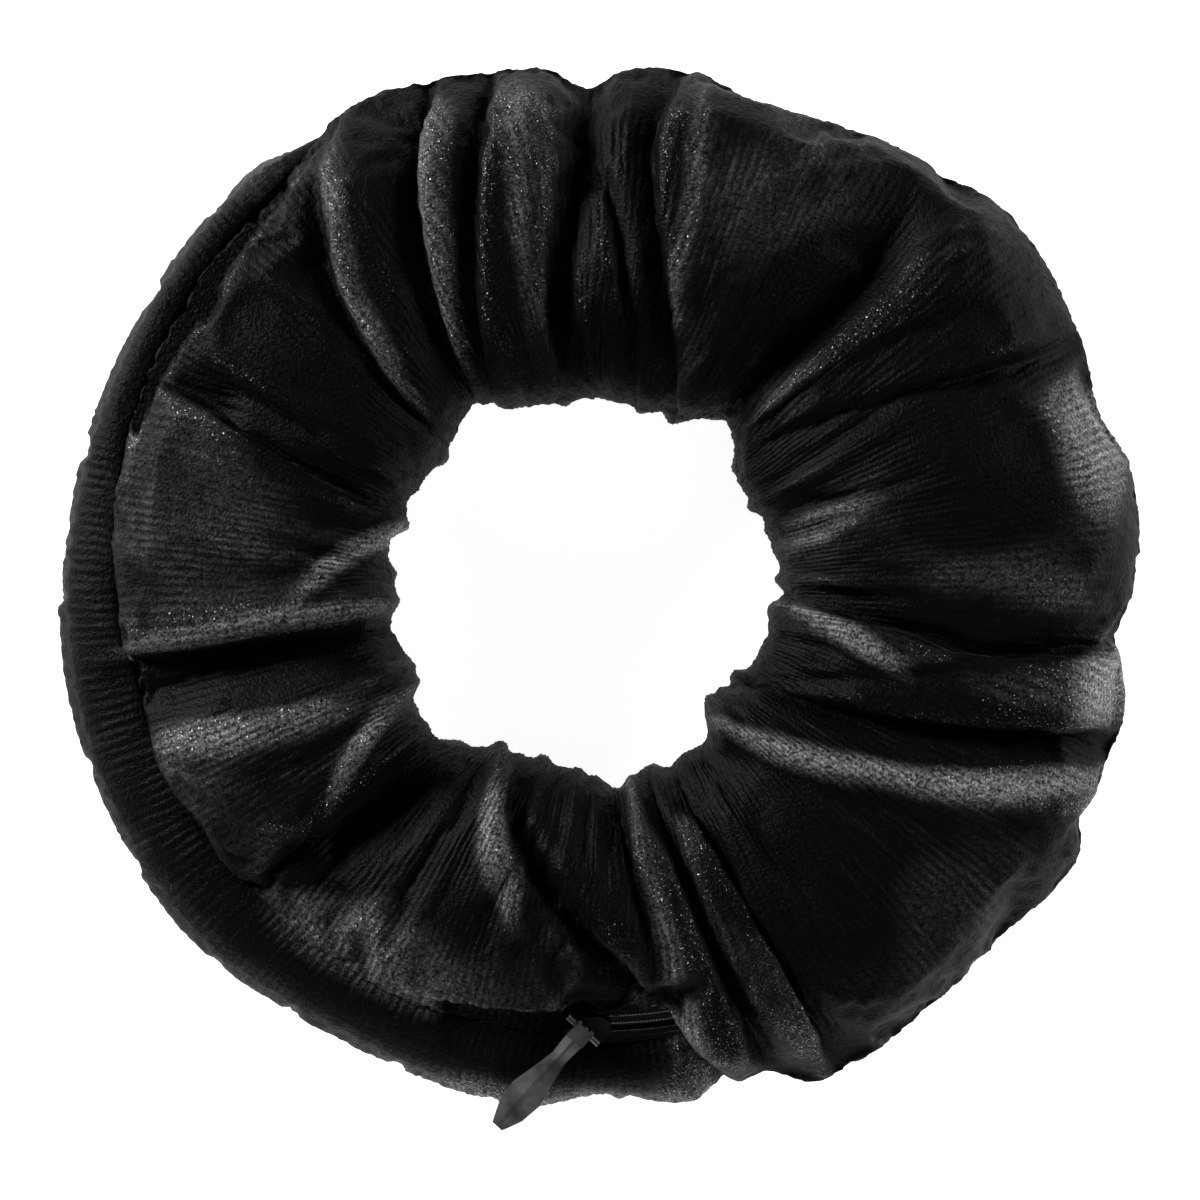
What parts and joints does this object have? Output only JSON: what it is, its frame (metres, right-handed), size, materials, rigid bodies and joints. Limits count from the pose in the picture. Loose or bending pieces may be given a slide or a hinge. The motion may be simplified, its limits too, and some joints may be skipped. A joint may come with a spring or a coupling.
{
  "type": "zip pocket scrunchie",
  "caption": "Gathered velvet hair scrunchie on an elastic loop, with a concealed zipper along its outer edge that opens the tube as a pocket.",
  "frame": {"origin": "centre of the hair opening, halfway up the elastic", "axes": "+Z along the axis of the loop, up out of the side with the zipper; -Y towards the zipper's closed end"},
  "size_m": [0.16, 0.1613, 0.027],
  "materials": {
    "velvet": "black stretch velvet with a short pile",
    "elastic": "white knitted elastic",
    "thread": "black sewing thread",
    "zipper_tape": "black woven zipper tape",
    "zipper_coil": "black nylon coil",
    "coil_cord": "black filler cord",
    "zipper_stop": "black moulded stop",
    "slider_metal": "black enamelled zinc",
    "pull_metal": "black enamelled zinc, half gloss"
  },
  "bodies": {
    "loop": {"velvet_cover": "velvet", "elastic_band": "elastic", "elastic_join_stitches": "thread", "long_seam_stitches": "thread", "end_seam_stitches": "thread", "zipper_tape_inner": "zipper_tape", "zipper_tape_outer": "zipper_tape", "zipper_coil_inner": "zipper_coil", "zipper_coil_outer": "zipper_coil", "coil_cord_inner": "coil_cord", "coil_cord_outer": "coil_cord", "zipper_stitches_inner": "thread", "zipper_stitches_outer": "thread", "top_stop_inner": "zipper_stop", "top_stop_outer": "zipper_stop", "bottom_stop": "zipper_stop"},
    "slider": {"slider_body": "slider_metal", "slider_cap": "slider_metal"},
    "crossbar": {"pull_crossbar": "pull_metal"},
    "pull": {"pull_tab": "pull_metal"}
  },
  "joints": [
    {"name": "zipper_travel", "type": "hinge", "parent": "loop", "child": "slider", "pos_m": [0, 0.005, 0], "axis": [0, 0, 1], "range_deg": [-120, 7]},
    {"name": "pull_swivel", "type": "hinge", "parent": "slider", "child": "crossbar", "pos_m": [-0.0025, -0.06646, 0.0103], "axis": [0, 0, 1], "range_deg": [-50, 60]},
    {"name": "pull_flip", "type": "hinge", "parent": "crossbar", "child": "pull", "pos_m": [-0.0025, -0.06646, 0.0103], "axis": [-0.7431, 0.6691, 0], "range_deg": [0, 110]}
  ]
}
